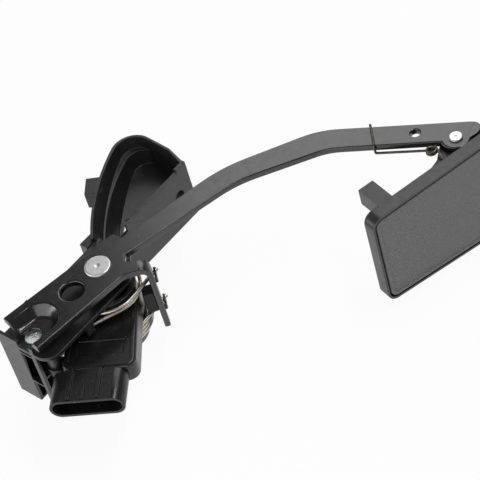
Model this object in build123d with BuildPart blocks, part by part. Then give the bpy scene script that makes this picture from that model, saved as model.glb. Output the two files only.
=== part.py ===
from build123d import *
from math import cos, pi, radians, sin, tan
import os

os.makedirs("parts", exist_ok=True)

# Frame: the origin is the middle of the two mounting holes, on the seating side of their wall.
# +Z runs along the pivot, +Y points to the bulkhead and +X runs down it to the pad.
# Plan sizes are taken from the pivot and heights from the base's underside, in millimetres.
mount_pitch = 26.0
mount_hole_radius = 3.3
mount_height = 33.4
mount_middle = 61.3
mount_wall_y = 12.5
wall = 2.0
pivot_x = -mount_middle
pivot_y = -(mount_wall_y + wall)

# Clearances shared by pieces that meet
running_fit = 0.05
seat_fit = 0.02
free_gap = 0.6

# Pivot and lever stamping, drawn along the hub plate and turned to its rest angle
lever_rest = -10.5
lever_thick = 4.0
lever_bottom = 52.0
lever_top = lever_bottom + lever_thick
shaft_radius = 5.0
shaft_head_radius = 7.2
shaft_head_thick = 1.5
ring_thick = 1.0
plate_rear = -54.5
plate_back = 12.1
plate_front_rear = -19.0
plate_front_tab = (5.0, -15.0)
access_hole_x = -18.9
access_hole_y = -2.1
access_hole_radius = 6.5
access_hole_round = 1.2
arm_neck = (21.0, 7.0)
arm_first_back = (88.3, 3.6)
arm_second_back = (140.5, -17.6)
arm_second_front = (134.0, -32.0)
arm_first_front = (87.0, -10.5)
arm_root_front = (15.0, -4.2)
arm_end_angle = -47.7
arm_end_length = 96.0
arm_front_length = 80.0
arm_width = 14.0
arm_first_radius = 80.0
arm_second_radius = 48.0
arm_root_radius = 22.0
arm_end_radius = 5.0
arm_hole = (171.2, -61.0)
arm_hole_radius = 2.7
hinge_boss_radius = 7.7

# Pressed trough with an open slot at the lever's rear end
trough_middle_y = -3.5
trough_end_x = -42.5
trough_radius = 11.0
trough_depth = 6.0
trough_wall = 2.6
trough_taper = 38.0
trough_rim_round = 1.5
trough_floor_round = 2.2
slot_radius = 4.4
slot_end_x = -48.6
slot_y = -4.6

# Tab bent down from the lever
tab_turn = -29.5
tab_outer = 26.7
tab_thick = 3.2
tab_far = -2.6
tab_width = 7.8
tab_bottom = 8.4
tab_relief = 2.7
tab_relief_top = 46.0
tab_bend_inner = 3.0
tab_bend_start = tab_outer - tab_thick - tab_bend_inner
tab_root_far = (12.0, -8.0)
tab_root_radius = 6.0

# Moulded base: end block, deck, spine and lower bearing arm
end_x = -56.5
end_wall = 1.8
end_wall_top = 49.0
block_x = -41.0
block_front = 10.0
block_back = 25.5
block_wall = 3.0
block_floor = 1.6
strip_front = -1.4
strip_width = 3.1
strip_bottom = 5.0
pocket_front = 4.2
rib_thick = 1.2
rib_depth = 9.0
rib_heights = (16.4, 40.0)
deck_bottom = 42.7
deck_thick = 2.5
deck_top = deck_bottom + deck_thick
deck_front = -12.6
deck_nose = 9.0
deck_right = 28.0
deck_shoulder = 6.0
deck_corner = 9.0
deck_round = 5.0
spine_front = 20.6
spine_wall = 2.4
spine_end = 22.0
cradle_bottom = 3.0
cradle_thick = 4.0
cradle_top = cradle_bottom + cradle_thick
cradle_half = 15.0

# Bearings and spring guides round the pivot
bush_inner = shaft_radius + running_fit
bush_outer = 7.0
boss_radius = 9.2
lower_boss_top = 13.0
upper_boss_top = 50.7
washer_radius = 8.6
guide_radius = 16.5
guide_wall = 2.4

# Return springs
spring_radius = 18.5
spring_wire = 1.05
spring_pitch = 2.3
upper_spring_start = 38.6
upper_spring_turns = 1
lower_spring_start = 12.4
lower_spring_turns = 3
spring_leg_angle = -116.0
spring_leg_length = 22.0
spring_tip_angle = -87.2
spring_tip_length = 22.0
spring_part_turn = (spring_tip_angle - spring_leg_angle) / 360
spring_slope = spring_pitch / (2 * pi * spring_radius)
leg_rib_x = -25.5
leg_rib_width = 5.0
leg_rib_thick = 2.1

# Position sensor, drawn from the pivot along the connector
sensor_turn = 215.3
sensor_bottom = 23.5
sensor_top = 35.5
sensor_half = 20.2
sensor_end_radius = 16.8
sensor_root = 50.8
sensor_corner = 6.0
sensor_edge = 1.8
sensor_wall = 2.0
sensor_rim = 3.4
sensor_rim_depth = 1.0
lid_thick = 2.0
lid_inset = 1.0
seal_thick = 1.0
seal_width = 1.6
plug_length = 20.4
plug_offset = -4.3
plug_height = 29.3
plug_half_width = 20.0
plug_half_height = 6.2
plug_wall = 1.7
plug_depth = 15.0
rail_offsets = (-13.5, 1.9)
rail_width = 2.6
rail_height = 1.3
key_offset = -5.9
key_width = 2.4
key_length = 7.5
label_length = 9.0
label_width = 25.0
label_x = 36.0
label_depth = 0.4
terminal_count = 6
terminal_pitch = 4.6
terminal_size = 1.5
terminal_length = 12.0
ear_radius = 5.0
ear_bottom = 26.0
ear_top = 31.0
ear_spots = ((42.0, -24.0), (-24.5, 0.0))
screw_radius = 1.9
screw_head_radius = 3.4
screw_head_thick = 2.2
screw_length = 13.0
rotor_radius = 9.0
board_thick = 1.6
board_height = 29.0

# D-shaped tub behind the mounting wall
tub_start = (16.6, 23.0)
tub_mid = (45.8, 45.6)
tub_top = (74.0, 58.7)
tub_shoulder = (86.0, 56.4)
tub_side = (90.6, 46.0)
tub_low = (89.6, 29.0)
tub_corner = 84.6
tub_wall = 1.5
tub_open = 34.0
tub_heel = 6.0
tub_rim = 49.0
tub_step = 40.0
tub_floor = 29.0
tub_lean = 38.0
tub_ledge = 1.3
tub_back_ledge = 3.5
step_inset = 4.8
floor_inset = 10.5
floor_start = (tub_open - wall / 2, 22.0)
floor_left = (47.8, 32.0)
floor_step = (54.0, 29.0)
mount_wall_bottom = 12.5
mount_wall_left = 39.4
mount_wall_right = 84.6
mount_wall_chamfer = 4.5
bridge_left = 26.0
notch_bottom = 39.0
notch_top = 46.5
notch_depth = 1.3
lip_left = 77.0
lip_height = 2.2
lug_spot = (49.0, 50.6)
lug_length = 12.5
lug_width = 10.0
lug_bottom = 36.0
lug_top = 46.5
clip_spot = (17.6, 26.6)
clip_length = 9.0
clip_width = 5.4
clip_bottom = 36.0

# Small pieces on the base and the tab
deck_screw = (-46.8, 7.6)
deck_screw_radius = 5.2
deck_screw_thick = 2.0
shoe_thick = 1.2
shoe_near = -4.2
shoe_far = 1.6
shoe_above = 1.7
shoe_below = 3.8
shoe_foot_near = -7.2
shoe_foot_height = 2.4
buffer_thick = 5.9
buffer_near = -10.0
buffer_far = -2.6
buffer_bottom = 22.0
buffer_top = 36.0
buffer_round = 0.8
stop_x = -37.5
stop_length = 8.0
stop_gap = 0.35

# Pad, drawn from its hinge pin: x along the pad, y towards the bulkhead
hinge = (182.2, -80.7)
pad_turn = -3.8
pad_upper_end = -70.5
pad_lower_end = 30.0
pad_front = -16.7
pad_back = -8.3
pad_top = 58.0
pad_bottom = -3.9
pad_flare = 4.5
pad_corner = 6.5
pad_rim = 1.3
pad_groove = 1.1
pad_recess = 3.0
cover_proud = 0.3
cover_corner = 4.5
post_left = -60.2
post_width = 9.6
post_end = 7.2
post_height = 10.4
pin_radius = 3.0
pin_head_radius = 3.7
pin_head_thick = 1.3
pin_tail_radius = 4.4
ear_thick = 7.4
ear_gap = 0.4
ear_ring = 8.0
gusset_root = -34.0
gusset_knee = (-15.2, -1.6)
gusset_top = (-8.0, 5.0)
gusset_right = 13.0
pad_bush_wall = 1.4

# Pad spring: a hook over the arm, a leg below it, a coil and a tail into the pad's ear
hook_back = (160.05, -37.7)
hook_front = (150.4, -51.35)
pad_wire = 0.7
coil_spot = (-13.8, 3.9)
coil_radius = 2.6
coil_pitch = 1.6
coil_turns = 2
tail_spot = (-13.0, -5.2)
hook_radius = 0.75


def level(height, turn=0.0):
    """Plane across the pivot at a height above the base's underside."""
    return Plane(
        origin=(pivot_x, pivot_y, height - mount_height),
        x_dir=(cos(radians(turn)), sin(radians(turn)), 0),
        z_dir=(0, 0, 1),
    )


def turned(point, angle):
    """A plan point turned about the pivot."""
    c, s = cos(radians(angle)), sin(radians(angle))
    return (point[0] * c - point[1] * s, point[0] * s + point[1] * c)


def panel(x0, x1, y0, y1):
    """Rectangle between two pairs of edges, in the sketch being drawn."""
    with Locations(((x0 + x1) / 2, (y0 + y1) / 2)):
        Rectangle(x1 - x0, y1 - y0)


def tub_outline(left, inset, back, opened):
    """The tub's D, drawn inside its outer wall; the left and back walls come in further than the rest."""
    lean_x, lean_y = left * sin(radians(tub_lean)), left * cos(radians(tub_lean))
    start = (tub_start[0] + lean_x, tub_start[1] - lean_y)
    mid = (tub_mid[0] + lean_x, tub_mid[1] - lean_y)
    top = (tub_top[0] + lean_x / 2, tub_top[1] - back - lean_y / 4)
    shoulder = (tub_shoulder[0] - inset / 2, tub_shoulder[1] - back)
    side = (tub_side[0] - inset, tub_side[1] - back)
    low = (tub_low[0] - inset, tub_low[1])
    corner = (tub_corner - inset, mount_wall_y + inset)
    with BuildLine() as outline:
        ThreePointArc(start, mid, top)
        ThreePointArc(top, shoulder, side)
        Polyline(
            side,
            low,
            corner,
            (opened, mount_wall_y + inset),
            (opened, mount_wall_y + tub_heel - inset),
            start,
        )
    make_face(outline.edges())


def sensor_outline(inset, mode=Mode.ADD):
    """The sensor's outline, drawn inside its wall: a round end that widens to the connector."""
    near, far = sensor_end_radius - inset, sensor_half - inset
    front = sensor_root - inset
    with BuildLine() as outline:
        FilletPolyline((0, near), (front, far), (front, -far), (0, -near), radius=sensor_corner - inset)
        Line((0, -near), (0, near))
    make_face(outline.edges(), mode=mode)
    Circle(near, mode=mode)


def pad_level(height):
    """Plane across the pad's hinge at a height above the base's underside."""
    spot = turned(hinge, lever_rest)
    angle = radians(lever_rest + pad_turn)
    return Plane(
        origin=(pivot_x + spot[0], pivot_y + spot[1], height - mount_height),
        x_dir=(cos(angle), sin(angle), 0),
        z_dir=(0, 0, 1),
    )


def pad_face(depth):
    """Upright plane across the pad at a distance towards the bulkhead, x along the pad and y up."""
    base_plane = pad_level(0)
    return Plane(
        origin=base_plane.origin + base_plane.y_dir * depth,
        x_dir=base_plane.x_dir,
        z_dir=-base_plane.y_dir,
    )


def tab_face(across):
    """Upright plane along the tab's outward direction, at a distance across the tab."""
    outward = level(0, lever_rest + tab_turn)
    return Plane(
        origin=outward.origin + outward.y_dir * across,
        x_dir=outward.x_dir,
        z_dir=-outward.y_dir,
    )


def pad_trapezoid(inset):
    """The pad's outline, drawn inside its rim; its lower edge flares towards the lower end."""
    lean = tan(radians(pad_flare))
    drop = pad_bottom + inset
    left, right = pad_upper_end + inset, pad_lower_end - inset
    with BuildLine() as outline:
        Polyline(
            (left, drop - inset * lean),
            (right, drop - (right - pad_upper_end) * lean),
            (right, pad_top - inset),
            (left, pad_top - inset),
            close=True,
        )
    make_face(outline.edges())


# Moulded base
mount_plane = Plane(
    origin=(pivot_x, pivot_y + mount_wall_y, -mount_height), x_dir=(1, 0, 0), z_dir=(0, -1, 0)
)
ear_posts = [turned(spot, sensor_turn) for spot in ear_spots]
with BuildPart() as base:
    with BuildSketch(level(0)):
        panel(end_x, block_x, block_front, block_back)
    extrude(amount=deck_bottom)
    with BuildSketch(level(block_floor)):
        panel(end_x + end_wall, block_x - block_wall, block_front, block_back - block_wall)
    extrude(amount=deck_bottom - block_wall - block_floor, mode=Mode.SUBTRACT)
    with BuildSketch(level(0)):
        panel(end_x, end_x + end_wall, block_front, block_back)
    extrude(amount=end_wall_top)
    with BuildSketch(level(strip_bottom)):
        panel(end_x, end_x + end_wall, strip_front, strip_front + strip_width)
    extrude(amount=end_wall_top - strip_bottom)
    with BuildSketch(level(strip_bottom)):
        panel(block_x - wall, block_x, pocket_front, block_front + block_wall)
    extrude(amount=deck_bottom - strip_bottom)
    for height in rib_heights:
        with BuildSketch(level(height)):
            panel(end_x, end_x + end_wall, strip_front, block_front)
            panel(end_x, block_x, pocket_front, block_front + rib_depth)
        extrude(amount=rib_thick)
    with BuildSketch(level(deck_bottom)) as deck:
        with BuildLine():
            Polyline(
                (end_x, spine_front + spine_wall),
                (end_x, deck_front),
                (deck_nose, deck_front),
                (deck_right, deck_shoulder),
                (deck_right, spine_front + spine_wall),
                close=True,
            )
        make_face()
        fillet(deck.vertices().group_by(Axis.Y)[0], deck_corner)
        fillet(deck.vertices().group_by(Axis.X)[-1], deck_round)
    extrude(amount=deck_thick)
    with BuildSketch(level(cradle_bottom)):
        Circle(cradle_half)
        panel(-cradle_half, cradle_half, 0, spine_front + spine_wall)
        panel(leg_rib_x - leg_rib_width / 2, 0, deck_front, deck_front + cradle_half)
    extrude(amount=cradle_thick)
    for bottom, top in ((cradle_top, sensor_bottom - free_gap), (sensor_top + free_gap, deck_bottom)):
        with BuildSketch(level(bottom)):
            Circle(guide_radius)
            Circle(guide_radius - guide_wall, mode=Mode.SUBTRACT)
        extrude(amount=top - bottom)
    for bottom, top in ((cradle_top, lower_boss_top), (deck_top, upper_boss_top)):
        with BuildSketch(level(bottom)):
            Circle(boss_radius)
        extrude(amount=top - bottom)
    for bottom, top in (
        (cradle_top, lower_spring_start + 2 * spring_wire),
        (upper_spring_start - 2 * spring_wire, deck_bottom),
    ):
        with BuildSketch(level(bottom)):
            panel(
                leg_rib_x - leg_rib_width / 2,
                leg_rib_x + leg_rib_width / 2,
                deck_front,
                deck_front + leg_rib_thick,
            )
        extrude(amount=top - bottom)
    with BuildSketch(level(ear_top)):
        with Locations(*ear_posts):
            Circle(ear_radius - wall / 2)
    extrude(amount=deck_bottom - ear_top)
    with BuildSketch(level(ear_top)):
        with Locations(*ear_posts):
            Circle(screw_radius + seat_fit)
    extrude(amount=screw_length, mode=Mode.SUBTRACT)
    with BuildSketch(level(tub_floor - wall)):
        tub_outline(0, 0, 0, tub_open)
    extrude(amount=tub_rim - tub_floor + wall)
    for top, top_inset, bottom, bottom_inset, back in (
        (tub_rim, tub_wall, tub_step, step_inset, tub_wall),
        (tub_step, step_inset + tub_ledge, tub_floor, floor_inset, tub_wall + tub_back_ledge),
    ):
        with BuildSketch(level(top)):
            tub_outline(top_inset, tub_wall, back, tub_open - 2 * wall)
        with BuildSketch(level(bottom)):
            tub_outline(bottom_inset, tub_wall, back, tub_open - 2 * wall)
        loft(ruled=True, mode=Mode.SUBTRACT)
    with BuildSketch(level(tub_floor - wall)):
        with BuildLine():
            Polyline(
                (floor_start[0], mount_wall_y),
                floor_start,
                floor_left,
                floor_step,
                (floor_step[0], mount_wall_y),
                close=True,
            )
        make_face()
    extrude(amount=wall, mode=Mode.SUBTRACT)
    with BuildSketch(level(0)):
        panel(end_x, spine_end, spine_front, spine_front + spine_wall)
    extrude(amount=deck_top)
    with BuildSketch(mount_plane) as mount_wall:
        with BuildLine():
            Polyline(
                (bridge_left, mount_wall_bottom),
                (mount_wall_right, mount_wall_bottom),
                (mount_wall_right, notch_bottom),
                (mount_wall_right - notch_depth, notch_bottom + 2 * notch_depth),
                (mount_wall_right - notch_depth, notch_top),
                (mount_wall_right, tub_rim),
                (mount_wall_left + mount_wall_chamfer, tub_rim),
                (mount_wall_left, tub_rim - mount_wall_chamfer),
                (bridge_left, deck_bottom),
                close=True,
            )
        make_face()
    extrude(amount=-wall)
    with BuildSketch(mount_plane):
        with Locations((mount_middle, mount_height)):
            with GridLocations(mount_pitch, 0, 2, 1):
                Circle(mount_hole_radius)
    extrude(amount=-wall, mode=Mode.SUBTRACT)
    with BuildSketch(level(tub_rim - wall)):
        panel(lip_left, tub_corner, mount_wall_y, mount_wall_y + wall)
    extrude(amount=wall + lip_height)
    with BuildSketch(level(lug_bottom)):
        with Locations(Location(lug_spot, tub_lean)):
            Rectangle(lug_length, lug_width)
    extrude(amount=lug_top - lug_bottom)
    with BuildSketch(level(clip_bottom)):
        with Locations(clip_spot):
            Rectangle(clip_length, clip_width)
    extrude(amount=deck_top - clip_bottom)
    with BuildSketch(level(cradle_bottom)):
        Circle(bush_outer + seat_fit)
    extrude(amount=upper_boss_top - cradle_bottom, mode=Mode.SUBTRACT)
    with BuildSketch(level(deck_top - deck_screw_thick)):
        with Locations(deck_screw):
            Circle(deck_screw_radius + seat_fit)
    extrude(amount=deck_screw_thick, mode=Mode.SUBTRACT)
base.part.label = "mounting_base"
export_step(base.part, "parts/mounting_base.step")

# Pivot bushes
for label, bottom, top in (
    ("lower_bush", cradle_bottom, lower_boss_top),
    ("upper_bush", deck_bottom, upper_boss_top),
):
    with BuildPart() as bush:
        with BuildSketch(level(bottom)):
            Circle(bush_outer)
            Circle(bush_inner, mode=Mode.SUBTRACT)
        extrude(amount=top - bottom)
    bush.part.label = label
    export_step(bush.part, f"parts/{label}.step")

# Lever stamping
back_run = turned((arm_end_length, 0), arm_end_angle)
front_run = turned((arm_front_length, -arm_width), arm_end_angle)
arm_end_back = (arm_second_back[0] + back_run[0], arm_second_back[1] + back_run[1])
arm_end_front = (arm_second_back[0] + front_run[0], arm_second_back[1] + front_run[1])
trough_reach = trough_radius + trough_wall - lever_thick * tan(radians(trough_taper))
tab_far_corner = turned((tab_bend_start, tab_far), tab_turn)
tab_near_corner = turned((tab_bend_start, tab_far - tab_width), tab_turn)
with BuildPart() as lever:
    with BuildSketch(level(lever_bottom, lever_rest)) as blank:
        with BuildLine():
            Polyline(
                (plate_rear, plate_back),
                (0, plate_back),
                arm_neck,
                arm_first_back,
                arm_second_back,
                arm_end_back,
                arm_end_front,
                arm_second_front,
                arm_first_front,
                arm_root_front,
                tab_root_far,
                tab_far_corner,
                tab_near_corner,
                plate_front_tab,
                (plate_rear, plate_front_rear),
                close=True,
            )
        make_face()
        for spot, radius in (
            (arm_first_back, arm_first_radius),
            (arm_first_front, arm_first_radius - arm_width),
            (arm_second_back, arm_second_radius),
            (arm_second_front, arm_second_radius - arm_width),
            (arm_neck, arm_root_radius),
            ((0, plate_back), arm_root_radius),
        ):
            fillet(blank.vertices().sort_by_distance((*spot, 0))[0], radius)
        fillet(blank.vertices().sort_by_distance((*plate_front_tab, 0))[0], tab_root_radius)
        fillet(blank.vertices().sort_by_distance((*arm_end_back, 0))[0], arm_end_radius)
        with Locations(hinge):
            Circle(hinge_boss_radius)
    extrude(amount=lever_thick)
    with BuildSketch(tab_face(tab_far)) as tab:
        with BuildLine():
            Polyline(
                (tab_bend_start - tab_bend_inner, lever_bottom),
                (tab_bend_start - tab_bend_inner, lever_top),
                (tab_outer, lever_top),
                (tab_outer, tab_bottom),
                (tab_outer - tab_thick, tab_bottom),
                (tab_outer - tab_thick, lever_bottom),
                close=True,
            )
        make_face()
        bend_inside = (tab_outer - tab_thick, lever_bottom, 0)
        fillet(tab.vertices().sort_by_distance((tab_outer, lever_top, 0))[0], tab_bend_inner + tab_thick)
        fillet(tab.vertices().sort_by_distance(bend_inside)[0], tab_bend_inner)
    extrude(amount=tab_width)
    with BuildSketch(level(tab_bottom, lever_rest + tab_turn)):
        panel(tab_outer - tab_thick, tab_outer, tab_far - tab_relief, tab_far)
    extrude(amount=tab_relief_top - tab_bottom, mode=Mode.SUBTRACT)
    with BuildSketch(level(lever_bottom, lever_rest)):
        with Locations((trough_end_x, trough_middle_y)):
            Circle(trough_reach)
        panel(plate_rear, trough_end_x, trough_middle_y - trough_reach, trough_middle_y + trough_reach)
    extrude(amount=-trough_depth, taper=trough_taper)
    with BuildSketch(level(lever_top, lever_rest)):
        with Locations((trough_end_x, trough_middle_y)):
            Circle(trough_radius)
        panel(
            plate_rear - trough_radius,
            trough_end_x,
            trough_middle_y - trough_radius,
            trough_middle_y + trough_radius,
        )
    extrude(amount=-trough_depth, taper=trough_taper, mode=Mode.SUBTRACT)
    trough_floor_radius = trough_radius - trough_depth * tan(radians(trough_taper))
    for radius, rounding in ((trough_radius, trough_rim_round), (trough_floor_radius, trough_floor_round)):
        rim = lever.edges().filter_by(GeomType.CIRCLE).sort_by(lambda edge: abs(edge.radius - radius))[0]
        fillet(rim, rounding)
    with BuildSketch(level(lever_top, lever_rest)):
        with Locations((slot_end_x, slot_y)):
            Circle(slot_radius)
        panel(plate_rear, slot_end_x, slot_y - slot_radius, slot_y + slot_radius)
        with Locations((access_hole_x, access_hole_y)):
            Circle(access_hole_radius)
        with Locations(arm_hole):
            Circle(arm_hole_radius)
        Circle(shaft_radius + seat_fit)
        with Locations(hinge):
            Circle(pin_radius + seat_fit)
    extrude(amount=-lever_thick - trough_depth, mode=Mode.SUBTRACT)
    hole_rims = lever.edges().filter_by(GeomType.CIRCLE).group_by(Axis.Z)[-1]
    fillet(hole_rims.sort_by(lambda edge: abs(edge.radius - access_hole_radius))[0], access_hole_round)
lever.part.label = "lever_arm"
export_step(lever.part, "parts/lever_arm.step")

# Pivot shaft, its washer and retaining ring
ring_bottom = cradle_bottom - running_fit - ring_thick
with BuildPart() as shaft:
    with BuildSketch(level(ring_bottom - ring_thick)):
        Circle(shaft_radius)
    extrude(amount=lever_top - ring_bottom + ring_thick)
    with BuildSketch(level(lever_top)):
        Circle(shaft_head_radius)
    extrude(amount=shaft_head_thick)
    fillet(shaft.edges().group_by(Axis.Z)[-1], shaft_head_thick / 2)
shaft.part.label = "pivot_shaft"
export_step(shaft.part, "parts/pivot_shaft.step")

with BuildPart() as washer:
    with BuildSketch(level(upper_boss_top + running_fit)):
        Circle(washer_radius)
        Circle(shaft_radius + seat_fit, mode=Mode.SUBTRACT)
    extrude(amount=lever_bottom - upper_boss_top - running_fit)
washer.part.label = "thrust_washer"
export_step(washer.part, "parts/thrust_washer.step")

with BuildPart() as ring:
    with BuildSketch(level(ring_bottom)):
        Circle(bush_outer + ring_thick)
        Circle(shaft_radius + seat_fit, mode=Mode.SUBTRACT)
        with Locations((bush_outer, 0)):
            Rectangle(bush_outer, shaft_radius, mode=Mode.SUBTRACT)
    extrude(amount=ring_thick)
ring.part.label = "retaining_ring"
export_step(ring.part, "parts/retaining_ring.step")

# Return springs: coil with a straight leg to the base and a straight tip through its shoe
spring_coils = ((upper_spring_start, upper_spring_turns), (lower_spring_start, lower_spring_turns))
tip_lag = radians(lever_rest + tab_turn - spring_tip_angle)
for label, (start, turns) in zip(("upper_spring", "lower_spring"), spring_coils):
    sweep_turns = turns + spring_part_turn
    with BuildPart() as spring:
        with BuildLine() as path:
            coil = Helix(spring_pitch, spring_pitch * sweep_turns, spring_radius)
            Line(coil @ 0 - coil % 0 * spring_leg_length, coil @ 0)
            Line(coil @ 1, coil @ 1 + coil % 1 * spring_tip_length)
        wire = path.wires()[0].moved(level(start, spring_leg_angle).location)
        with BuildSketch(Plane(origin=wire @ 0, z_dir=wire % 0)):
            Circle(spring_wire)
        sweep(path=wire)
    spring.part.label = label
    export_step(spring.part, f"parts/{label}.step")

# Spring shoes on the tab, each with a hole for a spring's tip, and the tab's buffer
with BuildPart() as shoes:
    for start, turns in spring_coils:
        tip_rise = spring_pitch * (turns + spring_part_turn)
        tip_plane = level(start + tip_rise, spring_tip_angle)
        run = (tab_outer + shoe_thick / 2 - spring_radius * cos(tip_lag)) / sin(tip_lag)
        tip_height = start + tip_rise + run * spring_slope
        with BuildSketch(level(tip_height - shoe_below, lever_rest + tab_turn)):
            panel(tab_outer, tab_outer + shoe_thick, shoe_near, shoe_far)
        extrude(amount=shoe_below + shoe_above)
        with BuildSketch(level(tip_height - shoe_foot_height / 2, lever_rest + tab_turn)):
            panel(tab_outer, tab_outer + shoe_thick, shoe_foot_near, shoe_far)
        extrude(amount=shoe_foot_height)
        tip_dir = (tip_plane.y_dir + Vector(0, 0, spring_slope)).normalized()
        with BuildSketch(Plane(origin=tip_plane.origin + tip_plane.x_dir * spring_radius, z_dir=tip_dir)):
            Circle(spring_wire + seat_fit)
        extrude(amount=2 * spring_tip_length, mode=Mode.SUBTRACT)
shoes.part.label = "spring_shoes"
export_step(shoes.part, "parts/spring_shoes.step")

with BuildPart() as buffer:
    with BuildSketch(level(buffer_bottom, lever_rest + tab_turn)):
        seat = tab_outer - tab_thick
        panel(seat - buffer_thick, seat, buffer_near, buffer_far)
    extrude(amount=buffer_top - buffer_bottom)
    fillet(buffer.edges().filter_by(Axis.Z), buffer_round)
buffer.part.label = "tab_buffer"
export_step(buffer.part, "parts/tab_buffer.step")

# Position sensor
board_end = sensor_root - sensor_wall - 2 * wall
with BuildPart() as sensor:
    with BuildSketch(level(sensor_bottom, sensor_turn)):
        sensor_outline(0)
    extrude(amount=sensor_top - sensor_bottom)
    fillet(sensor.edges().group_by(Axis.Z)[-1], sensor_edge)
    with BuildSketch(level(ear_bottom, sensor_turn)):
        with Locations(*ear_spots):
            Circle(ear_radius)
        side_ear, end_ear = ear_spots
        panel(side_ear[0] - ear_radius, side_ear[0] + ear_radius, side_ear[1], 0)
        panel(end_ear[0], 0, -ear_radius, ear_radius)
    extrude(amount=ear_top - ear_bottom)
    with BuildSketch(level(sensor_top, sensor_turn)):
        sensor_outline(sensor_rim)
    extrude(amount=-sensor_rim_depth, mode=Mode.SUBTRACT)
    with BuildSketch(level(sensor_top - sensor_rim_depth, sensor_turn)):
        with Locations((label_x, 0)):
            Rectangle(label_length, label_width)
    extrude(amount=-label_depth, mode=Mode.SUBTRACT)
    cavity_depth = sensor_top - sensor_bottom - sensor_rim_depth - sensor_wall
    for inset, depth in ((sensor_wall, cavity_depth), (lid_inset, lid_thick + seal_thick)):
        with BuildSketch(level(sensor_bottom, sensor_turn)):
            sensor_outline(inset)
        extrude(amount=depth, mode=Mode.SUBTRACT)
    mouth = level(plug_height, sensor_turn)
    root_plane = Plane(
        origin=mouth.origin + mouth.x_dir * sensor_root + mouth.y_dir * plug_offset,
        x_dir=mouth.y_dir,
        z_dir=mouth.x_dir,
    )
    with BuildSketch(root_plane):
        SlotOverall(2 * plug_half_width, 2 * plug_half_height)
    extrude(amount=plug_length)
    with BuildSketch(root_plane.offset(plug_length)):
        SlotOverall(2 * (plug_half_width - plug_wall), 2 * (plug_half_height - plug_wall))
    extrude(amount=-plug_depth, mode=Mode.SUBTRACT)
    with BuildSketch(level(plug_height + plug_half_height - wall, sensor_turn)):
        for offset in rail_offsets:
            panel(
                sensor_root,
                sensor_root + plug_length - plug_wall,
                offset - rail_width / 2,
                offset + rail_width / 2,
            )
        panel(
            sensor_root + plug_length - plug_wall - key_length,
            sensor_root + plug_length - plug_wall,
            key_offset - key_width / 2,
            key_offset + key_width / 2,
        )
    extrude(amount=wall + rail_height)
    with BuildSketch(level(sensor_bottom, sensor_turn)):
        Circle(shaft_radius + free_gap)
        with Locations(*ear_spots):
            Circle(screw_radius + seat_fit)
    extrude(amount=sensor_top - sensor_bottom, mode=Mode.SUBTRACT)
    with BuildSketch(root_plane.offset(board_end - sensor_root)):
        with GridLocations(terminal_pitch, 0, terminal_count, 1):
            Rectangle(terminal_size, terminal_size)
    extrude(amount=sensor_root - board_end + plug_length, mode=Mode.SUBTRACT)
sensor.part.label = "sensor_housing"
export_step(sensor.part, "parts/sensor_housing.step")

with BuildPart() as terminals:
    with BuildSketch(root_plane.offset(board_end - sensor_root)):
        with GridLocations(terminal_pitch, 0, terminal_count, 1):
            Rectangle(terminal_size, terminal_size)
    extrude(amount=sensor_root - board_end + terminal_length)
terminals.part.label = "connector_terminals"
export_step(terminals.part, "parts/connector_terminals.step")

with BuildPart() as lid:
    with BuildSketch(level(sensor_bottom, sensor_turn)):
        sensor_outline(lid_inset + seat_fit)
        Circle(shaft_radius + free_gap, mode=Mode.SUBTRACT)
    extrude(amount=lid_thick)
lid.part.label = "sensor_lid"
export_step(lid.part, "parts/sensor_lid.step")

with BuildPart() as board:
    with BuildSketch(level(board_height, sensor_turn)):
        sensor_outline(sensor_wall + seat_fit)
        board_start = rotor_radius + wall
        with Locations(((board_start + board_end) / 2, 0)):
            Rectangle(board_end - board_start, 2 * sensor_half, mode=Mode.INTERSECT)
    extrude(amount=board_thick)
board.part.label = "sensor_board"
export_step(board.part, "parts/sensor_board.step")

with BuildPart() as rotor:
    with BuildSketch(level(sensor_bottom + lid_thick + free_gap)):
        Circle(rotor_radius)
        Circle(shaft_radius + seat_fit, mode=Mode.SUBTRACT)
    extrude(amount=board_height + board_thick - sensor_bottom - lid_thick - free_gap)
rotor.part.label = "sensor_rotor"
export_step(rotor.part, "parts/sensor_rotor.step")

with BuildPart() as seal:
    with BuildSketch(level(sensor_bottom + lid_thick, sensor_turn)):
        sensor_outline(lid_inset + seat_fit)
        sensor_outline(lid_inset + seal_width, mode=Mode.SUBTRACT)
    extrude(amount=seal_thick)
seal.part.label = "sensor_seal"
export_step(seal.part, "parts/sensor_seal.step")

with BuildPart() as screws:
    with BuildSketch(level(ear_bottom, sensor_turn)):
        with Locations(*ear_spots):
            Circle(screw_radius)
    extrude(amount=screw_length)
    with BuildSketch(level(ear_bottom, sensor_turn)):
        with Locations(*ear_spots):
            Circle(screw_head_radius)
    extrude(amount=-screw_head_thick)
screws.part.label = "sensor_screws"
export_step(screws.part, "parts/sensor_screws.step")

# Screw in the deck, seen through the lever's slot, and the idle stop under the trough's side
with BuildPart() as bright_screw:
    with BuildSketch(level(deck_top - deck_screw_thick)):
        with Locations(deck_screw):
            Circle(deck_screw_radius)
    extrude(amount=deck_screw_thick)
bright_screw.part.label = "deck_screw"
export_step(bright_screw.part, "parts/deck_screw.step")

trough_back = turned((trough_end_x, trough_middle_y), lever_rest)[1] + trough_reach
with BuildPart() as stop:
    with BuildSketch(level(deck_top)):
        panel(
            stop_x - stop_length / 2,
            stop_x + stop_length / 2,
            trough_back + stop_gap,
            spine_front + spine_wall,
        )
    extrude(amount=lever_bottom - deck_top - free_gap)
stop.part.label = "idle_stop"
export_step(stop.part, "parts/idle_stop.step")

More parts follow.
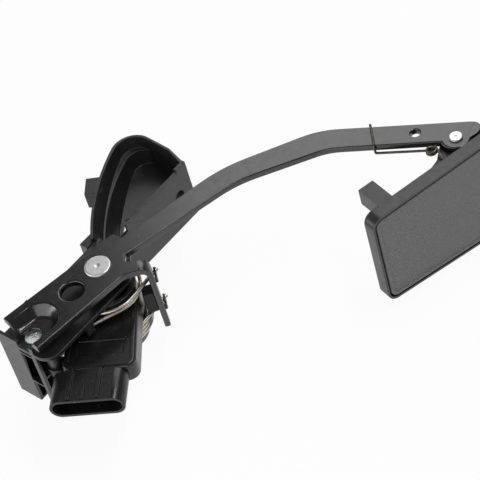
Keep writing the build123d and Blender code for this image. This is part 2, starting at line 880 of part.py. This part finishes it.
# Pad tray with its post and hinge ear
ear_bottom_height = lever_bottom - ear_gap - ear_thick
with BuildPart() as tray:
    with BuildSketch(pad_face(pad_front)) as outline:
        pad_trapezoid(0)
        fillet(outline.vertices(), pad_corner)
    extrude(amount=-(pad_back - pad_front))
    fillet(tray.faces().sort_by(Axis(pad_level(0).origin, pad_level(0).y_dir))[-1].edges(), pad_rim)
    with BuildSketch(pad_face(pad_front)) as recess:
        pad_trapezoid(pad_rim)
        fillet(recess.vertices(), pad_corner - pad_rim)
    extrude(amount=-pad_recess, mode=Mode.SUBTRACT)
    with BuildSketch(pad_level(pad_top - post_height)):
        panel(post_left, post_left + post_width, pad_back - wall, post_end)
    extrude(amount=post_height)
    with BuildSketch(pad_level(ear_bottom_height)):
        Circle(ear_ring)
        with BuildLine():
            Polyline(
                (gusset_root, pad_back - wall),
                (gusset_root, pad_back),
                gusset_knee,
                gusset_top,
                (0, ear_ring),
                (ear_ring, 0),
                (gusset_right, pad_back),
                (gusset_right, pad_back - wall),
                close=True,
            )
        make_face()
        Circle(pin_radius + pad_bush_wall + seat_fit, mode=Mode.SUBTRACT)
    extrude(amount=ear_thick)
tray.part.label = "pad_tray"
export_step(tray.part, "parts/pad_tray.step")

with BuildPart() as cover:
    with BuildSketch(pad_face(pad_front - cover_proud)) as cover_outline:
        pad_trapezoid(pad_rim + pad_groove)
        fillet(cover_outline.vertices(), cover_corner)
    extrude(amount=-pad_recess - cover_proud)
    fillet(cover.faces().sort_by(Axis(pad_level(0).origin, pad_level(0).y_dir))[0].edges(), cover_proud * 2)
cover.part.label = "pad_cover"
export_step(cover.part, "parts/pad_cover.step")

# Pad hinge pin and bush
with BuildPart() as pin:
    with BuildSketch(pad_level(ear_bottom_height - running_fit)):
        Circle(pin_radius)
    extrude(amount=lever_top - ear_bottom_height + running_fit)
    with BuildSketch(pad_level(lever_top)):
        Circle(pin_head_radius)
    extrude(amount=pin_head_thick)
    fillet(pin.edges().group_by(Axis.Z)[-1], pin_head_thick / 2)
    with BuildSketch(pad_level(ear_bottom_height - running_fit)):
        Circle(pin_tail_radius)
    extrude(amount=-pin_head_thick)
pin.part.label = "pad_pin"
export_step(pin.part, "parts/pad_pin.step")

with BuildPart() as pad_bush:
    with BuildSketch(pad_level(ear_bottom_height)):
        Circle(pin_radius + pad_bush_wall)
        Circle(pin_radius + running_fit, mode=Mode.SUBTRACT)
    extrude(amount=ear_thick)
pad_bush.part.label = "pad_bush"
export_step(pad_bush.part, "parts/pad_bush.step")

# Pad spring: its lowest turn and its tail rest on the pad's ear
lever_plane = level(0, lever_rest)
pad_plane = pad_level(ear_bottom_height + ear_thick + pad_wire + seat_fit)
coil_plane = Plane(
    origin=pad_plane.from_local_coords(Vector(*coil_spot)), x_dir=pad_plane.x_dir, z_dir=(0, 0, 1)
)
over = lever_top + pad_wire + seat_fit
under = lever_bottom - pad_wire
with BuildPart() as pad_spring:
    with BuildLine() as coil_line:
        Helix(coil_pitch, coil_pitch * coil_turns, coil_radius)
    turns_wire = coil_line.wires()[0].moved(coil_plane.location)
    with BuildSketch(Plane(origin=turns_wire @ 0, z_dir=turns_wire % 0)):
        Circle(pad_wire)
    sweep(path=turns_wire)
    with BuildLine() as hook_line:
        FilletPolyline(
            lever_plane.from_local_coords(Vector(*hook_back, lever_bottom)),
            lever_plane.from_local_coords(Vector(*hook_back, over)),
            lever_plane.from_local_coords(Vector(*hook_front, over)),
            lever_plane.from_local_coords(Vector(*hook_front, under)),
            turns_wire @ 0,
            radius=hook_radius,
        )
    hook_wire = hook_line.wires()[0]
    with BuildSketch(Plane(origin=hook_wire @ 0, z_dir=hook_wire % 0)):
        Circle(pad_wire)
    sweep(path=hook_wire)
    tail = pad_plane.from_local_coords(Vector(*tail_spot)) - turns_wire @ 1
    with BuildSketch(Plane(origin=turns_wire @ 1, z_dir=tail)):
        Circle(pad_wire)
    extrude(amount=tail.length)
pad_spring.part.label = "pad_spring"
export_step(pad_spring.part, "parts/pad_spring.step")
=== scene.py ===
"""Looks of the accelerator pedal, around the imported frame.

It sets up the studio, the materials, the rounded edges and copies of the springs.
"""

from math import cos, pi, radians, sin

import bmesh
import bpy
from mathutils import Matrix, Vector


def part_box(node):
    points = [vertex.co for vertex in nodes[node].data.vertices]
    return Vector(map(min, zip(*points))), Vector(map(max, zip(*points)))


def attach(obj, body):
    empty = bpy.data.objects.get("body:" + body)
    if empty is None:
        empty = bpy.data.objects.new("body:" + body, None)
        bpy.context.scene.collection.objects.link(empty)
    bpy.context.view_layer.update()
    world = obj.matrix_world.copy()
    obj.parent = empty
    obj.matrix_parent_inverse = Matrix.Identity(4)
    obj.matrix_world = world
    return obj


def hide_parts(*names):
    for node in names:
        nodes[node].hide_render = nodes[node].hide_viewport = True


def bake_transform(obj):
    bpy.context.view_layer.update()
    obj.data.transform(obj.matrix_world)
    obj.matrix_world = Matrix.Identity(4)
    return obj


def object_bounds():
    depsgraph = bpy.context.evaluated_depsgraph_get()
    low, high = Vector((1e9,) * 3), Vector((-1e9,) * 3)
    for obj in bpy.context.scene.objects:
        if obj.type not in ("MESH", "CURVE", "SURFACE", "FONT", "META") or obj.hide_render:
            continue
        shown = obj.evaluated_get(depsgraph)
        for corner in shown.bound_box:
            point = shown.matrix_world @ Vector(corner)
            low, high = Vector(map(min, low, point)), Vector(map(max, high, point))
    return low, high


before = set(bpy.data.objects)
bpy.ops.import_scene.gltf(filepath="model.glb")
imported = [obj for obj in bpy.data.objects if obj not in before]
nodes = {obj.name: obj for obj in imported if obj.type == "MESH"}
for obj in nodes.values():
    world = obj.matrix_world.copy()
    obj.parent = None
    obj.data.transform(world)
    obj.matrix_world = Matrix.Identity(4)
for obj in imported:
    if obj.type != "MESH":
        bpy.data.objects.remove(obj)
cad_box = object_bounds()
scene = bpy.context.scene

# Places in metres, in the shared frame
PIVOT = Vector((-0.0613, -0.0145, 0.0))
PAD_HINGE = Vector((0.103143, -0.127052, 0.0))
PAD_TURN = radians(-14.3)

# Rounded edges and the pad cover's lip, in metres
WELD_GAP = 0.000002
FLAT_ANGLE = radians(0.2)
SHARP_ANGLE = radians(40)
ROUND_STEPS = 3
LIP_WIDTH = 0.0014
LIP_DEPTH = 0.0006
COVER_ROUND = 0.0002
EDGE_ROUNDING = {
    "lever_arm": 0.0007,
    "mounting_base": 0.0003,
    "sensor_housing": 0.0003,
    "tab_buffer": 0.0004,
}

# Deck screw: its head's profile and cross recess, as shares of its radius and height
SCREW_SIDES = 64
SCREW_PROFILE = ((1.0, 0.0), (1.0, 0.55), (0.96, 0.78), (0.86, 0.92), (0.70, 1.0))
CROSS_REACH = 0.48
CROSS_HALF = 0.11
RECESS_DEPTH = 0.55
RECESS_SHRINK = 0.72

# Marks: specks of dust as places per metre, size and shade, and the heads faced on a lathe,
# as node, axis and size of the centre mark
DUST = (330, 0.09, 0.22)
PAD_DUST = (260, 0.08, 0.4)
RING_SCALE = 240
TURNED_HEADS = (("pivot_shaft", PIVOT, 0.0016), ("pad_pin", PAD_HINGE, 0.0008))

# Camera, fitted to the photograph
CAMERA_PLACE = Vector((-0.4793, -0.6685, 0.8076))
CAMERA_FORWARD = Vector((0.4296, 0.5476, -0.7181))
CAMERA_RIGHT = Vector((0.6195, -0.7572, -0.2068))
CAMERA_LENS = 158.85
CAMERA_SENSOR = 36.0
CAMERA_REACH = (0.05, 50)

# Studio: surround colours, the floor, and lamps as name, place, aim, width, height and brightness
SURROUND_LOW = (0.70, 0.70, 0.70)
SURROUND_HIGH = (0.12, 0.12, 0.12)
FLOOR_HALF = 3.0
FLOOR_GAP = 0.0006
FLOOR_COLOUR = (0.92, 0.92, 0.92)
FLOOR_GLOW_SHARE = 0.93
LAMPS = (
    ("sheen_right", (0.91, 0.52, 0.92), (0.03, -0.05, 0.0), 0.9, 0.7, 2.35),
    ("low_left", (-0.95, -0.26, 0.36), (-0.04, -0.04, 0.0), 1.5, 0.76, 1.8),
    ("edge_front", (0.34, -0.34, 1.10), (0.02, -0.05, 0.0), 1.0, 0.22, 10.0),
    ("edge_back", (-0.90, 0.64, 0.16), (0.0, -0.05, 0.0), 0.8, 0.2, 6.0),
)


def make_camera():
    """The photograph's camera, with its slight roll."""
    forward = CAMERA_FORWARD.normalized()
    right = (CAMERA_RIGHT - forward * CAMERA_RIGHT.dot(forward)).normalized()
    up = right.cross(forward)
    data = bpy.data.cameras.new("photo_camera")
    data.lens = CAMERA_LENS
    data.sensor_width = CAMERA_SENSOR
    data.clip_start, data.clip_end = CAMERA_REACH
    camera = bpy.data.objects.new("photo_camera", data)
    scene.collection.objects.link(camera)
    turn = Matrix((right, up, -forward)).transposed().to_4x4()
    camera.matrix_world = Matrix.Translation(CAMERA_PLACE) @ turn
    scene.camera = camera


def make_lamp(name, place, aim, width, height, brightness):
    """A soft rectangular lamp at place, turned towards aim, with power by area and brightness."""
    data = bpy.data.lights.new(name, "AREA")
    data.shape = "RECTANGLE"
    data.size = width
    data.size_y = height
    data.energy = brightness * pi * width * height
    lamp = bpy.data.objects.new(name, data)
    scene.collection.objects.link(lamp)
    lamp.visible_camera = False
    lamp.location = place
    lamp.rotation_mode = "QUATERNION"
    lamp.rotation_quaternion = (Vector(aim) - Vector(place)).to_track_quat("-Z", "Y")


def make_world():
    """Studio surround: pale near the floor and greyer overhead."""
    world = bpy.data.worlds.new("studio")
    scene.world = world
    world.use_nodes = True
    tree = world.node_tree
    tree.nodes.clear()
    spot = tree.nodes.new("ShaderNodeTexCoord")
    split = tree.nodes.new("ShaderNodeSeparateXYZ")
    ramp = tree.nodes.new("ShaderNodeValToRGB")
    ramp.color_ramp.elements[0].position = 0.02
    ramp.color_ramp.elements[0].color = (*SURROUND_LOW, 1)
    ramp.color_ramp.elements[1].position = 0.45
    ramp.color_ramp.elements[1].color = (*SURROUND_HIGH, 1)
    light = tree.nodes.new("ShaderNodeBackground")
    out = tree.nodes.new("ShaderNodeOutputWorld")
    tree.links.new(spot.outputs["Generated"], split.inputs[0])
    tree.links.new(split.outputs["Z"], ramp.inputs["Fac"])
    tree.links.new(ramp.outputs["Color"], light.inputs["Color"])
    tree.links.new(light.outputs[0], out.inputs[0])


def make_floor():
    """A pale floor under the pad, white to the camera and in reflections but for a faint shadow."""
    low = cad_box[0].z - FLOOR_GAP
    mesh = bpy.data.meshes.new("floor")
    signs = ((-1, -1), (1, -1), (1, 1), (-1, 1))
    corners = [(x * FLOOR_HALF, y * FLOOR_HALF, low) for x, y in signs]
    mesh.from_pydata(corners, [], [(0, 1, 2, 3)])
    floor = bpy.data.objects.new("floor", mesh)
    scene.collection.objects.link(floor)
    mat = bpy.data.materials.new("pale_floor")
    mat.use_nodes = True
    tree = mat.node_tree
    tree.nodes.clear()
    paths = tree.nodes.new("ShaderNodeLightPath")
    seen = paths.outputs["Is Camera Ray"]
    for kind in ("Is Glossy Ray", "Is Transmission Ray"):
        either = tree.nodes.new("ShaderNodeMath")
        either.operation = "MAXIMUM"
        tree.links.new(seen, either.inputs[0])
        tree.links.new(paths.outputs[kind], either.inputs[1])
        seen = either.outputs[0]
    share = tree.nodes.new("ShaderNodeMath")
    share.operation = "MULTIPLY"
    share.inputs[1].default_value = FLOOR_GLOW_SHARE
    tree.links.new(seen, share.inputs[0])
    paper = tree.nodes.new("ShaderNodeBsdfDiffuse")
    paper.inputs["Color"].default_value = (*FLOOR_COLOUR, 1)
    glow = tree.nodes.new("ShaderNodeEmission")
    glow.inputs["Color"].default_value = (1, 1, 1, 1)
    glow.inputs["Strength"].default_value = 1.0
    mix = tree.nodes.new("ShaderNodeMixShader")
    out = tree.nodes.new("ShaderNodeOutputMaterial")
    tree.links.new(share.outputs[0], mix.inputs[0])
    tree.links.new(paper.outputs[0], mix.inputs[1])
    tree.links.new(glow.outputs[0], mix.inputs[2])
    tree.links.new(mix.outputs[0], out.inputs[0])
    mesh.materials.append(mat)


def noise(tree, spot, scale, detail=3.0, rough=0.55):
    """A noise texture in the part's own metres; scale is in blobs per metre."""
    tex = tree.nodes.new("ShaderNodeTexNoise")
    tex.inputs["Scale"].default_value = scale
    tex.inputs["Detail"].default_value = detail
    tex.inputs["Roughness"].default_value = rough
    tree.links.new(spot, tex.inputs["Vector"])
    return tex.outputs["Fac"]


def spread(tree, value, low, high, start=0.3, end=0.7):
    """The value's middle band, stretched to run from low to high."""
    node = tree.nodes.new("ShaderNodeMapRange")
    node.inputs["From Min"].default_value = start
    node.inputs["From Max"].default_value = end
    node.inputs["To Min"].default_value = low
    node.inputs["To Max"].default_value = high
    tree.links.new(value, node.inputs["Value"])
    return node.outputs["Result"]


def tint(tree, value, dark, light):
    """A colour between dark and light by value."""
    ramp = tree.nodes.new("ShaderNodeValToRGB")
    ramp.color_ramp.elements[0].position = 0.3
    ramp.color_ramp.elements[1].position = 0.7
    ramp.color_ramp.elements[0].color = (*dark, 1)
    ramp.color_ramp.elements[1].color = (*light, 1)
    tree.links.new(value, ramp.inputs["Fac"])
    return ramp.outputs["Color"]


def relief(tree, value, strength, depth, under=None):
    """Bump from value, depth in metres, on top of another bump if there is one."""
    bump = tree.nodes.new("ShaderNodeBump")
    bump.inputs["Strength"].default_value = strength
    bump.inputs["Distance"].default_value = depth
    tree.links.new(value, bump.inputs["Height"])
    if under is not None:
        tree.links.new(under, bump.inputs["Normal"])
    return bump.outputs["Normal"]


def new_material(name):
    """An empty material with its shader, and the coordinates its textures use."""
    mat = bpy.data.materials.new(name)
    mat.use_nodes = True
    tree = mat.node_tree
    shader = tree.nodes["Principled BSDF"]
    spot = tree.nodes.new("ShaderNodeTexCoord").outputs["Object"]
    return mat, tree, shader, spot


def dusted(tree, spot, colour, scale, size, shade):
    """The colour with pale specks of dust or wear on a third of scale places per metre."""
    cells = tree.nodes.new("ShaderNodeTexVoronoi")
    cells.inputs["Scale"].default_value = scale
    tree.links.new(spot, cells.inputs["Vector"])
    near = spread(tree, cells.outputs["Distance"], 1.0, 0.0, 0.5 * size, size)
    pick = tree.nodes.new("ShaderNodeSeparateColor")
    tree.links.new(cells.outputs["Color"], pick.inputs[0])
    chosen = spread(tree, pick.outputs[0], 0.0, 1.0, 0.66, 0.68)
    both = tree.nodes.new("ShaderNodeMath")
    both.operation = "MULTIPLY"
    tree.links.new(near, both.inputs[0])
    tree.links.new(chosen, both.inputs[1])
    mix = tree.nodes.new("ShaderNodeMix")
    mix.data_type = "RGBA"
    tree.links.new(both.outputs[0], mix.inputs["Factor"])
    tree.links.new(colour, mix.inputs["A"])
    mix.inputs["B"].default_value = (shade, shade, shade, 1)
    return mix.outputs["Result"]


def moulded(name, dark, light, gloss, grain, grain_depth, shine=0.5):
    """Moulded plastic or paint: faint cloudiness, uneven gloss and a fine skin."""
    mat, tree, shader, spot = new_material(name)
    blotch = 60.0
    cloud = noise(tree, spot, blotch, 4.0)
    shader.inputs["Specular IOR Level"].default_value = shine
    colour = dusted(tree, spot, tint(tree, cloud, dark, light), *DUST)
    tree.links.new(colour, shader.inputs["Base Color"])
    sheen = spread(tree, noise(tree, spot, 4 * blotch, 5.0), *gloss)
    tree.links.new(sheen, shader.inputs["Roughness"])
    skin = relief(tree, noise(tree, spot, grain, 2.0), 0.2, grain_depth)
    tree.links.new(skin, shader.inputs["Normal"])
    return mat


def plated(name, dark, light, gloss, grain):
    """Bare or plated metal with fine rubbing marks."""
    mat, tree, shader, spot = new_material(name)
    marks = noise(tree, spot, grain, 4.0)
    cloud = noise(tree, spot, grain / 6, 3.0)
    shader.inputs["Metallic"].default_value = 1.0
    tree.links.new(tint(tree, cloud, dark, light), shader.inputs["Base Color"])
    tree.links.new(spread(tree, marks, *gloss), shader.inputs["Roughness"])
    tree.links.new(relief(tree, marks, 0.15, 0.00001), shader.inputs["Normal"])
    return mat


def pad_face_material():
    """The pad's cover: close pebble grain, its grey partly the rubber's own and partly painted
    sheen, varying at random.
    """
    mat, tree, shader, spot = new_material("pad_rubber")
    cells = tree.nodes.new("ShaderNodeTexVoronoi")
    cells.feature = "SMOOTH_F1"
    cells.inputs["Scale"].default_value = 1150
    cells.inputs["Smoothness"].default_value = 0.6
    tree.links.new(spot, cells.inputs["Vector"])
    fine = noise(tree, spot, 1500, 3.0, 0.7)
    # pale grey varying at random: partly the rubber's own grey, partly painted sheen
    colour = tint(tree, fine, (0.082, 0.082, 0.084), (0.158, 0.158, 0.162))
    tree.links.new(dusted(tree, spot, colour, *PAD_DUST), shader.inputs["Base Color"])
    tree.links.new(spread(tree, fine, 0.42, 0.6), shader.inputs["Roughness"])
    pebble = relief(tree, cells.outputs["Distance"], 0.8, 0.0003)
    tree.links.new(relief(tree, fine, 0.3, 0.0001, pebble), shader.inputs["Normal"])
    return mat


def board_material():
    """Green coated laminate with a faint copper grid under it."""
    mat, tree, shader, spot = new_material("board")
    lines = tree.nodes.new("ShaderNodeTexBrick")
    lines.inputs["Scale"].default_value = 420
    lines.inputs["Color1"].default_value = (0.012, 0.09, 0.035, 1)
    lines.inputs["Color2"].default_value = (0.016, 0.11, 0.04, 1)
    lines.inputs["Mortar"].default_value = (0.05, 0.2, 0.07, 1)
    tree.links.new(spot, lines.inputs["Vector"])
    tree.links.new(lines.outputs["Color"], shader.inputs["Base Color"])
    tree.links.new(spread(tree, noise(tree, spot, 300), 0.25, 0.4), shader.inputs["Roughness"])
    return mat


def turned_material(name, centre, dimple):
    """A plated head faced on a lathe: fine rings about its own axis, and a centre mark."""
    mat, tree, shader, spot = new_material(name)
    mapping = tree.nodes.new("ShaderNodeMapping")
    mapping.inputs["Location"].default_value = (-centre.x, -centre.y, 0)
    mapping.inputs["Scale"].default_value = (1, 1, 0)
    tree.links.new(spot, mapping.inputs["Vector"])
    rings = tree.nodes.new("ShaderNodeTexWave")
    rings.wave_type = "RINGS"
    rings.rings_direction = "Z"
    rings.inputs["Scale"].default_value = RING_SCALE
    rings.inputs["Distortion"].default_value = 5.0
    rings.inputs["Detail"].default_value = 2.0
    tree.links.new(mapping.outputs["Vector"], rings.inputs["Vector"])
    away = tree.nodes.new("ShaderNodeVectorMath")
    away.operation = "LENGTH"
    tree.links.new(mapping.outputs["Vector"], away.inputs[0])
    hollow = spread(tree, away.outputs["Value"], 0.0, 1.0, 0.0, dimple)
    cloud = noise(tree, spot, 420, 4.0)
    shader.inputs["Metallic"].default_value = 1.0
    colour = tint(tree, cloud, (0.60, 0.61, 0.62), (0.78, 0.78, 0.77))
    tree.links.new(colour, shader.inputs["Base Color"])
    sheen = spread(tree, rings.outputs["Fac"], 0.34, 0.44, 0.0, 1.0)
    tree.links.new(sheen, shader.inputs["Roughness"])
    turned = relief(tree, rings.outputs["Fac"], 0.3, 0.00004)
    tree.links.new(relief(tree, hollow, 0.6, 0.0004, turned), shader.inputs["Normal"])
    return mat


def screw_material():
    """Satin zinc with a cool cast, its colour painted near white and barely metallic: painted light
    on a screw that sits in shade.
    """
    mat, tree, shader, spot = new_material("screw_zinc_painted_light")
    cloud = noise(tree, spot, 500, 4.0)
    # painted light: near-white, barely metallic zinc so the screw shows bright in the trough's
    # shade
    shader.inputs["Metallic"].default_value = 0.2
    colour = tint(tree, cloud, (0.84, 0.88, 0.91), (0.93, 0.95, 0.97))
    tree.links.new(colour, shader.inputs["Base Color"])
    sheen = spread(tree, noise(tree, spot, 1400, 3.0), 0.35, 0.55)
    tree.links.new(sheen, shader.inputs["Roughness"])
    tree.links.new(relief(tree, cloud, 0.2, 0.00004), shader.inputs["Normal"])
    return mat


# Moulded and painted finishes: dark and light shade, gloss, grain, grain depth and shine
MOULDED = {
    "black_paint": (
        (0.006, 0.006, 0.0062), (0.010, 0.010, 0.0103), (0.19, 0.26), 1200, 0.000005, 0.8
    ),
    "base_plastic": (
        (0.010, 0.010, 0.0104), (0.016, 0.016, 0.0165), (0.30, 0.40), 900, 0.00001, 0.65
    ),
    "sensor_plastic": (
        (0.005, 0.005, 0.0052), (0.009, 0.009, 0.0093), (0.26, 0.34), 1200, 0.000008
    ),
    "pad_plastic": (
        (0.014, 0.014, 0.0145), (0.021, 0.021, 0.0217), (0.34, 0.46), 1400, 0.00003, 0.65
    ),
    "black_steel": (
        (0.005, 0.005, 0.0052), (0.009, 0.009, 0.0093), (0.26, 0.34), 1200, 0.000008
    ),
    "buffer_rubber": (
        (0.008, 0.008, 0.008), (0.013, 0.013, 0.013), (0.5, 0.7), 1400, 0.0001, 0.35
    ),
}

# Metal finishes: dark and light shade, gloss and grain
PLATED = {
    "zinc": ((0.56, 0.57, 0.58), (0.70, 0.70, 0.69), (0.38, 0.55), 700),
    "spring_steel": ((0.40, 0.365, 0.315), (0.56, 0.52, 0.46), (0.30, 0.40), 600),
    "dark_wire": ((0.07, 0.065, 0.058), (0.14, 0.13, 0.115), (0.30, 0.45), 1500),
    "bronze": ((0.42, 0.27, 0.12), (0.58, 0.40, 0.20), (0.3, 0.5), 800),
    "terminal": ((0.70, 0.66, 0.55), (0.82, 0.79, 0.70), (0.18, 0.32), 1200),
}


def make_materials():
    """A material for each of the record's slots, and for three finishes that vary one."""
    finishes = {name: moulded(name, *values) for name, values in MOULDED.items()}
    finishes.update({name: plated(name, *values) for name, values in PLATED.items()})
    finishes["pad_rubber"] = pad_face_material()
    finishes["screw_zinc_painted_light"] = screw_material()
    finishes["board"] = board_material()
    return finishes


NODE_FINISHES = {
    "black_paint": ("lever_arm",),
    "base_plastic": ("mounting_base",),
    "sensor_plastic": ("sensor_housing", "sensor_lid", "sensor_rotor"),
    "pad_plastic": ("pad_tray",),
    "pad_rubber": ("pad_cover",),
    "zinc": ("pivot_shaft", "retaining_ring", "deck_screw", "pad_pin", "sensor_screws"),
    "spring_steel": ("upper_spring", "lower_spring", "pad_spring"),
    "black_steel": ("spring_shoes",),
    "bronze": ("upper_bush", "lower_bush", "pad_bush", "thrust_washer"),
    "buffer_rubber": ("tab_buffer", "sensor_seal", "idle_stop"),
    "board": ("sensor_board",),
    "terminal": ("connector_terminals",),
}


def paint_nodes(materials):
    """Gives every solid its material."""
    for finish, names in NODE_FINISHES.items():
        for name in names:
            mesh = nodes[name].data
            mesh.materials.clear()
            mesh.materials.append(materials[finish])
    for name, centre, dimple in TURNED_HEADS:
        nodes[name].data.materials[0] = turned_material(name + "_zinc", centre, dimple)


def add_rounding(piece, width):
    """A rounding of the given width on the piece's sharp edges."""
    bevel = piece.modifiers.new("edges", "BEVEL")
    bevel.width = width
    bevel.segments = ROUND_STEPS
    bevel.limit_method = "ANGLE"
    bevel.angle_limit = SHARP_ANGLE
    bevel.harden_normals = True
    bevel.use_clamp_overlap = False


def round_edges():
    """Breaks the sharp edges of the larger solids, as moulding and stamping do."""
    for name, width in EDGE_ROUNDING.items():
        weld = nodes[name].modifiers.new("weld", "WELD")
        weld.merge_threshold = WELD_GAP
        flat = nodes[name].modifiers.new("flat", "DECIMATE")
        flat.decimate_type = "DISSOLVE"
        flat.angle_limit = FLAT_ANGLE
        add_rounding(nodes[name], width)


def cross_points(reach, half):
    """Corners of a plus sign, counter-clockwise."""
    points = []
    for quarter in range(4):
        c, s = cos(quarter * pi / 2), sin(quarter * pi / 2)
        for x, y in ((half, -half), (reach, -half), (reach, half)):
            points.append((x * c - y * s, x * s + y * c))
    return points


def make_deck_screw(material):
    """The deck's screw: a low domed head with a cross recess, in place of its plain disc."""
    low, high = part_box("deck_screw")
    middle = (low + high) / 2
    radius = (high.x - low.x) / 2
    rise = high.z - low.z
    shape = bmesh.new()
    around = [2 * pi * step / SCREW_SIDES for step in range(SCREW_SIDES)]
    rows = []
    for out, up in SCREW_PROFILE:
        reach, level = radius * out, low.z + rise * up
        rows.append(
            [
                shape.verts.new((middle.x + reach * cos(a), middle.y + reach * sin(a), level))
                for a in around
            ]
        )
    for below, above in zip(rows, rows[1:]):
        for step in range(SCREW_SIDES):
            after = (step + 1) % SCREW_SIDES
            side = shape.faces.new((below[step], below[after], above[after], above[step]))
            side.smooth = True
    shape.faces.new(rows[0][::-1])
    corners = cross_points(CROSS_REACH * radius, CROSS_HALF * radius)
    rims = []
    for depth, shrink in ((0.0, 1.0), (RECESS_DEPTH, RECESS_SHRINK)):
        level = high.z - rise * depth
        rims.append(
            [
                shape.verts.new((middle.x + x * shrink, middle.y + y * shrink, level))
                for x, y in corners
            ]
        )
    count = len(corners)
    for step in range(count):
        after = (step + 1) % count
        shape.faces.new((rims[0][after], rims[0][step], rims[1][step], rims[1][after]))
    shape.faces.new(rims[1])
    outline = []
    for ring in (rows[-1], rims[0]):
        outline += [shape.edges.get((ring[step], ring[step - 1])) for step in range(len(ring))]
    bmesh.ops.triangle_fill(shape, use_beauty=True, edges=outline)
    bmesh.ops.recalc_face_normals(shape, faces=shape.faces)
    mesh = bpy.data.meshes.new("deck_screw_head")
    shape.to_mesh(mesh)
    shape.free()
    head = bpy.data.objects.new("deck_screw_head", mesh)
    scene.collection.objects.link(head)
    mesh.materials.append(material)
    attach(head, "base")
    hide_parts("deck_screw")


def make_pad_cover(material):
    """The pad's cover with a raised lip round its grained face, in place of its plain slab."""
    front = Vector((sin(PAD_TURN), -cos(PAD_TURN), 0))
    shape = bmesh.new()
    shape.from_mesh(nodes["pad_cover"].data)
    bmesh.ops.remove_doubles(shape, verts=shape.verts, dist=WELD_GAP)
    bmesh.ops.dissolve_limit(
        shape, angle_limit=FLAT_ANGLE, verts=shape.verts, edges=shape.edges
    )
    face = max(shape.faces, key=lambda side: side.calc_area() * side.normal.dot(front))
    bmesh.ops.inset_region(shape, faces=[face], thickness=LIP_WIDTH)
    bmesh.ops.inset_region(shape, faces=[face], thickness=LIP_DEPTH, depth=-LIP_DEPTH)
    mesh = bpy.data.meshes.new("pad_cover_face")
    shape.to_mesh(mesh)
    shape.free()
    cover = bpy.data.objects.new("pad_cover_face", mesh)
    scene.collection.objects.link(cover)
    mesh.materials.append(material)
    add_rounding(cover, COVER_ROUND)
    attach(cover, "pad")
    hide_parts("pad_cover")


def bending_copy(name):
    """A copy of a wire spring that winds between two bodies, shown in place of its solid."""
    source = nodes[name]
    wire = bpy.data.objects.new(name + "_wire", source.data.copy())
    scene.collection.objects.link(wire)
    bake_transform(wire)
    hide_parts(name)
    return wire


scene.view_settings.view_transform = "Standard"
make_camera()
make_world()
make_floor()
for lamp in LAMPS:
    make_lamp(*lamp)
materials = make_materials()
paint_nodes(materials)
round_edges()
make_deck_screw(materials["screw_zinc_painted_light"])
make_pad_cover(materials["pad_rubber"])
for spring in ("upper_spring", "lower_spring"):
    bending_copy(spring)
pad_wire = bending_copy("pad_spring")
pad_wire.data.materials[0] = materials["dark_wire"]
